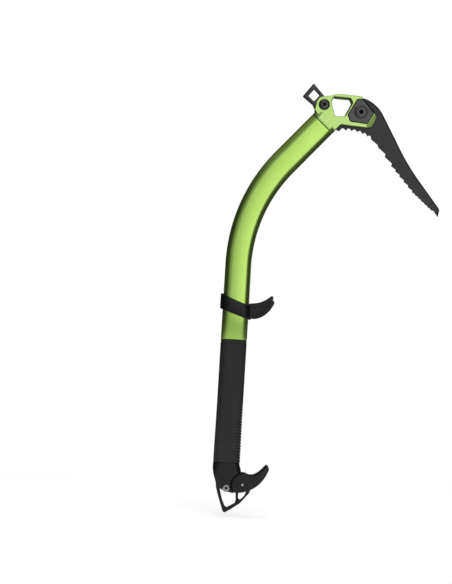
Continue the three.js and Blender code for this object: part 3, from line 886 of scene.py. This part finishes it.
# %% Windows, slots and pockets cut in the head
RIM_DEPTH = 4.0


def window_cutter(side):
    """A short funnel from the rim's outline on one cheek to the window inside."""
    return skin("funnel", [
        [(x, side * y, z) for x, z in outline]
        for y, outline in ((HEAD_HALF + 1, window_rim), (HEAD_HALF, window_rim),
                           (HEAD_HALF - RIM_DEPTH, window))])


def flange_cutter(side):
    """A wedge that slopes the cheek down to the lower front edge."""
    inner = in_head([(16.96, 4.85), (2.81, -18.46)])
    outer = in_head([(25.5, -0.34), (11.4, -23.65)])
    wedges = []
    for (x, z), (far_x, far_z) in zip(inner, outer):
        wedges.append([(x, side * HEAD_HALF, z), (far_x, side * (HEAD_HALF - 4.4), far_z),
                       (far_x, side * (HEAD_HALF + 4), far_z), (x, side * (HEAD_HALF + 4), z)])
    return skin("flange", wedges)


pocket = grown(plate_outline, 0.45)
cut(head, slab("window", window, *THROUGH), window_cutter(-1), window_cutter(1))
cut(head, flange_cutter(-1), flange_cutter(1))
cut(head, slab("pocket_near", pocket, -20, -PLATE_FLOOR),
    slab("pocket_far", pocket, PLATE_FLOOR, 20))
cut(head, slab("pick_slot", pick_slot, -2.3, 2.3), slab("tongue_slot", tongue_slot, -3, 3))
cut(head, bar("pick_hole", PICK_BOLT, PICK_HOLE, *THROUGH),
    bar("hammer_hole", hammer_place, HAMMER_HOLE, *THROUGH))
soften(head, 0.7, 3, 50)
fit(head, "axe", "green_head", head_paint, "head")

# %% [markdown]
# ## The pick
# The pick is a toothed blade cut from 4 mm sheet. Its teeth are cut back just before the next
# tip, so that they bite on the pull. One flat face carries the outline, Solidify gives the
# sheet's thickness, and a Bevel that reads edge weights grinds the back broadly and breaks
# the teeth finely. The stack stays live, so each can still be changed.

# %% Teeth and hollows of the pick
def teeth(start, end, count):
    points = []
    step = (Vector(end) - Vector(start)) / count
    across = Vector((-step.y, step.x))
    for i in range(count):
        tip = Vector(start) + step * i
        points += [tuple(tip), tuple(tip + 0.84 * step + 0.2 * across)]
    return points


def scallops(start, control, end, count):
    tips = bow(start, control, end, count)
    points = []
    for (x, z), (next_x, next_z) in zip(tips, tips[1:]):
        dx, dz = next_x - x, next_z - z
        deep = (x + dx / 2 - 0.85 * dz, z + dz / 2 + 0.85 * dx)
        points += bow((x, z), deep, (next_x, next_z), 6)[:-1]
    return points


toothed = [
    (-27.3, -20.3), *scallops((-23.7, -20.7), (-2, -18.9), (12.4, -30.3), 6),
    (12.4, -30.3), (20, -36.8),
    *teeth((20.9, -40), (35.4, -61.2), 2),
    *teeth((35.4, -61.2), (59.4, -91.2), 5),
    *teeth((59.4, -91.2), (80.5, -111.6), 6),
    (80.5, -111.6), (84, -112.6)]
back = [
    (88.8, -119.8),
    *bow((90.7, -112), (90.2, -109.8), (88.9, -108.2), 4),
    *bow((66, -76.2), (51.6, -55.5), (40.2, -30.6), 12),
    *bow((26.8, -3.8), (20.2, 10.1), (6.6, 15.9), 12)]
arm = [(2.4, 16.9), (-4, 13), (-5.8, 9.4), (-13.6, -7.4), (-17, -9.4), (-27.3, -10.6)]
print("pick outline:", len(toothed) + len(back) + len(arm), "points")

# %% Blade with its ground edges
BACK_GRIND = 1.0
TOOTH_GRIND = 0.3
pick_points = in_head(toothed + back + arm)
pick = new_piece("pick_ground", [(x, 0, z) for x, z in pick_points], [range(len(pick_points))])
ground = pick.data.attributes.new("bevel_weight_edge", "FLOAT", "EDGE")
first, last = len(toothed), len(toothed) + len(back)
for edge in pick.data.edges:
    low, high = sorted(edge.vertices)
    on_back = first <= low and high < last
    ground.data[edge.index].value = BACK_GRIND if on_back else TOOTH_GRIND
sheet = pick.modifiers.new("sheet", "SOLIDIFY")
sheet.thickness = 4 * MM
sheet.offset = 0
grind = pick.modifiers.new("ground_edges", "BEVEL")
grind.limit_method = "WEIGHT"
grind.width = 1.5 * MM
grind.segments = 1
grind.use_clamp_overlap = False
fit(pick, "axe", "dark_steel", pick_steel, "pick")

# %% [markdown]
# ## Plates, bolts and nuts
# A steel plate lies in each cheek, and one bolt clamps plates, cheeks and pick together. Bolts
# are lathe work, so Screw turns their profiles. The hexagon sockets are cut with a six-sided
# bar. The far ends carry flanged nuts.

# %% Side plates
for side, name, node in (
        (-1, "side_plate_near", "side_plate_left"), (1, "side_plate_far", "side_plate_right")):
    low, high = sorted((side * (PLATE_FLOOR + 0.3), side * PLATE_FACE))
    cheek = slab(name, plate_outline, low, high)
    cut(cheek, bar("bolt_way", PICK_BOLT, PICK_HOLE, *THROUGH))
    soften(cheek, 0.45, 2)
    fit(cheek, "axe", "grey_steel", plate_steel, node)

# %% Bolts with their sockets, and flanged nuts
def hexagon(name, centre, radius, low, high):
    return bar(name, centre, radius, low, high, sides=6)


def socket_bolt(name, profile, centre, socket, mouth, depth):
    bolt = turned(name, profile, centre)
    return smooth(cut(bolt, hexagon("socket", centre, socket, mouth - 5, mouth + depth)), 28)


def darken_socket(bolt, centre, socket, mouth):
    """The inside of a socket gets a near-black finish: painted shade where the recess lies in
    shadow.
    """
    bolt.data.materials.append(socket_painted_shade)
    axis = Vector((centre[0], 0, centre[1])) * MM
    for face in bolt.data.polygons:
        away = face.center - axis
        inside = math.hypot(away.x, away.z) < (socket + 0.05) * MM
        if inside and mouth + 0.1 < face.center.y / MM < 0:
            face.material_index = 1


def flanged_nut(name, centre, face, hole, flange, across, height):
    top = face + height
    collar = turned(name, [
        (0, face), (flange - 0.2, face), (flange, face + 0.3), (flange - 0.1, face + 1.0),
        (flange - 0.8, face + 1.4), (0, face + 1.4)], centre)
    flats = hexagon("flats", centre, across, face + 0.7, top)
    crown = turned("crown", [
        (0, face), (across, face), (across, top - 0.9), (across - 1.2, top), (0, top)], centre)
    nut = join(collar, common(flats, crown))
    return smooth(cut(nut, bar("thread", centre, hole, face - 1, top + 1)), 24)


pick_bolt = socket_bolt("pick_bolt_turned", [
    (0, -13.2), (4.4, -13.2), (5.6, -12.9), (5.9, -12.1), (6.2, -12.1), (6.5, -12.7), (7.0, -12.4),
    (7.2, -11.9), (7.2, -10.2), (4, -10.2), (4, 16.2), (3.6, 16.6), (0, 16.6)],
    PICK_BOLT, 2.9, -13.2, 4)
fit(pick_bolt, "axe", "grey_steel", bolt_steel, "pick_bolt")
darken_socket(pick_bolt, PICK_BOLT, 2.9, -13.2)
pick_nut = flanged_nut("pick_nut_cut", PICK_BOLT, 10.2, 4.05, 7.2, 6.6, 5.6)
fit(pick_nut, "axe", "grey_steel", bolt_steel, "pick_nut")
hammer_bolt = socket_bolt("hammer_bolt_turned", [
    (0, -12.4), (3.4, -12.4), (5.0, -12.0), (6.1, -11.1), (6.4, -10.4), (6.4, -9.8), (2.5, -9.8),
    (2.5, 14.4), (2.1, 14.8), (0, 14.8)], hammer_place, 2.4, -12.4, 2.2)
fit(hammer_bolt, "axe", "grey_steel", bolt_steel, "hammer_bolt")
darken_socket(hammer_bolt, hammer_place, 2.4, -12.4)
hammer_nut = flanged_nut("hammer_nut_cut", hammer_place, 9.8, 2.55, 6, 5, 4.4)
fit(hammer_nut, "axe", "grey_steel", bolt_steel, "hammer_nut")

# %% [markdown]
# ## The hammer
# A small square hammer with an eye stands on the back of the head, and its thinner root goes
# between the cheeks. It is a plate with rolled rims and the eye cut through. The cheeks' own
# outline, grown by the gap, trims its sides, so that only the thin root runs in.

# %% Hammer
hammer_outline = in_head(rounded([
    (-66.2, 19.1, 1.2), (-53.7, 33.5, 1.4), (-41.6, 19.1, 3), (-37.5, 12), (-37.5, 2), (-44, 1),
    (-52, 3.4), (-54.8, 9.4)]))
hammer_eye = in_head(rounded([
    (-60, 19.2, 0.8), (-53, 27.2, 0.8), (-46.6, 20, 0.8), (-53.6, 12.9, 0.8)]))
cheeks = in_head([
    *arc(HAMMER_BOLT, 9.7, 178, 92, 20), (-34.4, 19.3), (-20, 19.3), (-20, -20), (-51.6, -20)])
wide_eye = grown(hammer_eye, 1.6)
eye_rims = [(wide_eye, -6.4), (hammer_eye, -4.4), (hammer_eye, 4.4), (wide_eye, 6.4)]
eye_cutter = skin("eye", [[(x, y, z) for x, z in outline] for outline, y in eye_rims])
hammer = cut(rolled("hammer_coated", hammer_outline, 5.5, 0.7, 2), eye_cutter,
             slab("cheek_near", cheeks, -20, -2.7), slab("cheek_far", cheeks, 2.7, 20),
             bar("bolt_way", hammer_place, HAMMER_HOLE, *THROUGH))
smooth(hammer, 30)
fit(hammer, "axe", "black_steel", hammer_black, "hammer")

# %% [markdown]
# ## The rubber sleeve
# The grip is a rubber tube with a row of small grooves on its front. Its skin is one closed
# loop of rings: up the outside, over the lip, and down the bore. The grooves are pressed into
# the outer rings by a wave that is strongest at the front and dies out towards the top.

# %% Ribbed grip
GRIP_TOP, GRIP_BOTTOM = 69.8, -71.0
RIB_PITCH = 3.45
RIB_DEPTH = 0.75
RIB_TOP, RIB_FADE = 4.0, 30.0


def step_between(low, high, value):
    share = min(1, max(0, (value - low) / (high - low)))
    return share * share * (3 - 2 * share)


def grip_ring(z, inset=0.0):
    low = step_between(0, GRIP_BOTTOM, z)
    size = (15 + 0.4 * low - inset, 11 - inset, 9 - inset)
    groove = max(0, math.cos(2 * math.pi * (z - GRIP_BOTTOM) / RIB_PITCH)) ** 1.5
    fade = step_between(RIB_TOP, RIB_TOP - RIB_FADE, z) if z > GRIP_BOTTOM + 1.5 else 0
    points = []
    for u, v in oval(size):
        press = RIB_DEPTH * groove * fade * step_between(1.5, 5.5, u) / math.hypot(u, v)
        points.append((u * (1 - press), v * (1 - press), z))
    return points


outer = [grip_ring(GRIP_BOTTOM, 0.5), grip_ring(GRIP_BOTTOM + 0.5)]
z = GRIP_BOTTOM + 1.2
while z < RIB_TOP + 2:
    outer.append(grip_ring(z))
    z += RIB_PITCH / 8
outer += [grip_ring(z) for z in (10, 20, 30, 40, 50, 60, 66)]
outer += [grip_ring(66.8, 0.5), grip_ring(67.4, 0.5), grip_ring(68.0, 0.0), grip_ring(69.2, 0.1),
          grip_ring(GRIP_TOP, 0.7)]
bore = [ring(widened(THIN_OVAL, 0.3), 0, z) for z in (GRIP_TOP, GRIP_BOTTOM)]
grip = smooth(skin("grip_ribbed", outer + bore, capped=False), 50)
fit(grip, "axe", "grip_rubber", grip_rubber, "grip_sleeve")

# %% [markdown]
# ## The finger rest
# A moulded collar slides on the tube, and its hook stops the forefinger. The collar's edges
# slant, so its skin goes round the tube with a small cross-section whose top and bottom
# follow two lines. The hook is a plate with a recess in each side, which leaves a thin web
# between two flanges. The two are joined, and then bored for the tube.

# %% Slanted collar
COLLAR_TOP = [(-22, 123.5), (-11, 119.1), (-8, 117.9), (8, 112.3), (11, 111.4), (22, 109.2)]
COLLAR_BOTTOM = [(-22, 107), (-15.2, 103.2), (-5, 100.4), (9, 95.6), (22, 92.4)]
WALL = (0.3, 3.1)  # gap to the tube, and outside of the collar


def height_on(line, x):
    for (x0, z0), (x1, z1) in zip(line, line[1:]):
        if x <= x1:
            return z0 + (z1 - z0) * (x - x0) / (x1 - x0)
    return line[-1][1]


inner_oval, outer_oval = (oval(widened(OVAL, wall), 9) for wall in WALL)
rings = []
for (iu, iv), (ou, ov) in zip(inner_oval, outer_oval):
    top, bottom = height_on(COLLAR_TOP, ou), height_on(COLLAR_BOTTOM, ou)
    section = [(0, bottom), (0.72, bottom), (0.92, bottom + 0.25), (1, bottom + 0.9),
               (1, top - 1.0), (0.92, top - 0.35), (0.72, top), (0, top)]
    rings.append([(iu + (ou - iu) * share, iv + (ov - iv) * share, z) for share, z in section])
collar = skin("finger_rest_moulded", rings, capped=False)
print("collar:", len(collar.data.polygons), "faces")

# %% Hook with its recessed web
HOOK_HALF, WEB_HALF = 7.5, 2.7
hook_outline = rounded([
    (12, 111), (15.5, 112, 8), (26, 113.4, 20), (34, 117.1, 20), (41, 122.6, 0.9),
    (42.8, 120.3, 0.9), (41.6, 117.3, 0.8), (43.6, 116.8, 0.8), (43.9, 113.2, 3),
    (39.7, 105.7, 20), (33.6, 99.4, 20),
    (27.6, 95.9, 20), (22, 94.5, 10), (12, 94.9)])
recess = rounded([
    (18.4, 110, 0.8), (26, 109.7, 20), (39.2, 116.6, 1), (40.0, 112.8, 2), (33, 100.8, 18),
    (23.5, 96.8, 10), (18.4, 96.8, 0.8)])
hook = cut(rolled("hook", hook_outline, HOOK_HALF, 0.5, 2),
           slab("recess_near", recess, -HOOK_HALF - 1, -WEB_HALF),
           slab("recess_far", recess, WEB_HALF, HOOK_HALF + 1))
bore = skin("tube_way", [ring(widened(OVAL, 0.3), 0, z) for z in (85, 130)])
finger_rest = cut(join(collar, hook), bore)
smooth(finger_rest, 38)
fit(finger_rest, "finger_rest_body", "black_plastic", rest_plastic, "finger_rest")

# %% [markdown]
# ## The pommel
# The sleeve at the tube's end is round-cornered from above and shaped from the side. Such a
# form is the overlap of two simple ones: a plate with the side outline, and a skin over
# rounded rings. It is then recessed for the hand rest, gets two lugs, and is slotted.

# %% Pommel sleeve
PIVOT = (19.7, -95.7)
SCREW = (1.2, -100)
LUG = 7
side_outline = [
    (-15.4, -71.3), (15, -71.3), (15.3, -75), (17.8, -80.6), (18, -84), (18, -100),
    (14.8, -105.3), (8.8, -105.7), *bow((0.9, -104), (-7, -102.4), (-10.9, -95.4), 8),
    *bow((-11.5, -92.8), (-15, -84.5), (-15.5, -77), 8)]
sleeve_rings = [
    ring((19, 9.5, 5), 0, -110), ring((19, 11, 6), 0, -100), ring((18, 11, 8), 0, -85),
    ring((15.4, 11, 9), 0, -71.3)]
pommel = common(slab("pommel_moulded", side_outline, -12, 12), skin("rounding", sleeve_rings))
lug_outline = [
    (4, PIVOT[1] + LUG + 2), (PIVOT[0] - 4, PIVOT[1] + LUG + 1),
    *arc(PIVOT, LUG, 90, -90, 20), (4, PIVOT[1] - LUG)]
spike_way = rounded([
    (-11.4, -120), (-11.4, -80), (11, -80), (14, -80.5, 1), (16.7, -82.4, 1), (16.7, -120)])
cut(pommel, bar("hub_recess", PIVOT, 13.6, *THROUGH, 96))
join(pommel, slab("lug_near", lug_outline, -5.5, -2.5), slab("lug_far", lug_outline, 2.5, 5.5))
bore = skin("tube_way", [ring(widened(THIN_OVAL, 0.6), 0, z) for z in (-83.2, -70)])
cut(pommel, slab("spike_way", spike_way, -2.5, 2.5), bore,
    bar("pin_way", PIVOT, 2.2, *THROUGH), bar("screw_way", SCREW, 2.8, *THROUGH))
soften(pommel, 0.6, 2, 35)
fit(pommel, "pommel", "black_plastic", rest_plastic, "pommel_sleeve")

# %% Hand rest on its pin
REST_HALF = 10.6
rest_outline = [
    *arc(PIVOT, 13, 82, 228, 40),
    *bow((15.4, -105.3), (40, -101.8), (49, -77.4), 18),
    *bow((48.9, -75.2), (47.4, -72.2), (45.4, -72.6), 6),
    *bow((43.6, -74.4), (32.4, -88.9), (22.6, -83.3), 14)]
hand_rest = rolled("hand_rest_moulded", rest_outline, REST_HALF, 1.6)
cut(hand_rest, bar("cavity", PIVOT, 14, -5.8, 5.8, 96), bar("pin_way", PIVOT, 2.3, *THROUGH),
    bar("pin_seat_near", PIVOT, 3.9, -20, 1 - REST_HALF),
    bar("pin_seat_far", PIVOT, 3.9, REST_HALF - 1, 20))
smooth(hand_rest, 40)
fit(hand_rest, "hand_rest_body", "black_plastic", rest_plastic, "hand_rest")

pin_end = REST_HALF - 0.5
pin = smooth(turned("hand_rest_pin_turned", [
    (0, -pin_end), (1.4, -pin_end), (1.95, 0.5 - pin_end), (1.95, pin_end - 0.5), (1.4, pin_end),
    (0, pin_end)], PIVOT, 40), 25)
fit(pin, "pommel", "bright_steel", screw_steel, "hand_rest_pin")

# %% Clamp screw and its nut
clamp_screw = socket_bolt("clamp_screw_turned", [
    (0, -13.5), (3.2, -13.5), (4.1, -13.0), (4.5, -12.3), (4.5, -11.3), (2.5, -11.3), (2.5, 14.0),
    (2.1, 14.4), (0, 14.4)], SCREW, 1.7, -13.5, 1.4)
fit(clamp_screw, "pommel", "bright_steel", screw_steel, "clamp_screw")
darken_socket(clamp_screw, SCREW, 1.7, -13.5)
clamp_crown = turned("crown", [(0, 11.3), (4.5, 11.3), (4.5, 13.8), (3.6, 14.5), (0, 14.5)], SCREW)
clamp_nut = smooth(cut(common(hexagon("clamp_nut_cut", SCREW, 4.5, 11.3, 14.5), clamp_crown),
                       bar("thread", SCREW, 2.55, 5, 20)), 24)
fit(clamp_nut, "pommel", "grey_steel", bolt_steel, "clamp_nut")

# %% [markdown]
# ## The spike
# The spike is cut from 4 mm steel sheet, with one large eye and an open notch in front of it
# whose top the hand rest covers. Its tongue goes up into the tube, where a plug and a rivet
# hold it. Those two and the small pad in the collar are out of sight, so their CAD parts
# stay, with finishes of their own.

# %% Spike plate
spike_outline = rounded([
    (-7.5, -62.5, 1), (7.5, -62.5, 1), (7.5, -89.6), (12.3, -91.3, 1), (16, -97, 1),
    (15.7, -112, 1), (17.9, -113.8, 0.8), (22.6, -109, 2), (25.9, -100.6, 0.5), (29.8, -100.9, 0.5),
    (27.9, -105.9, 2), (18, -117.9, 8), (7.5, -125.4), (1.4, -129.28, 0.6), (-0.9, -128.58, 0.8),
    (-6.7, -112.9, 20), (-10.3, -101.3, 4), (-10.9, -96.5), (-9.6, -89.6, 1), (-7.5, -89.6)])
spike_eye = rounded([
    (-6, -95.4, 1.5), (12.5, -95.4, 1.5), (12.5, -106.6), (13, -114.4, 2), (12, -118, 1.5),
    (3.2, -123.3, 1.2), (0.8, -121.8, 1.2), (-2.9, -113.4, 6), (-5.8, -103, 4)])
spike = cut(rolled("spike_coated", spike_outline, 2, 0.45, 2), slab("eye", spike_eye, -9, 9),
            bar("rivet_way", (0, -73), 2.3, -9, 9))
smooth(spike, 32)
fit(spike, "axe", "black_steel", spike_black, "spike")

# %% Finishes of the hidden CAD parts
for node, finish in (
        ("spike_plug", plug_plastic), ("spike_rivet", bolt_steel), ("finger_rest_pad", pad_rubber)):
    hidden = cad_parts[node]
    hidden.data.materials.clear()
    hidden.data.materials.append(finish)
    print(node, "keeps its CAD shape")
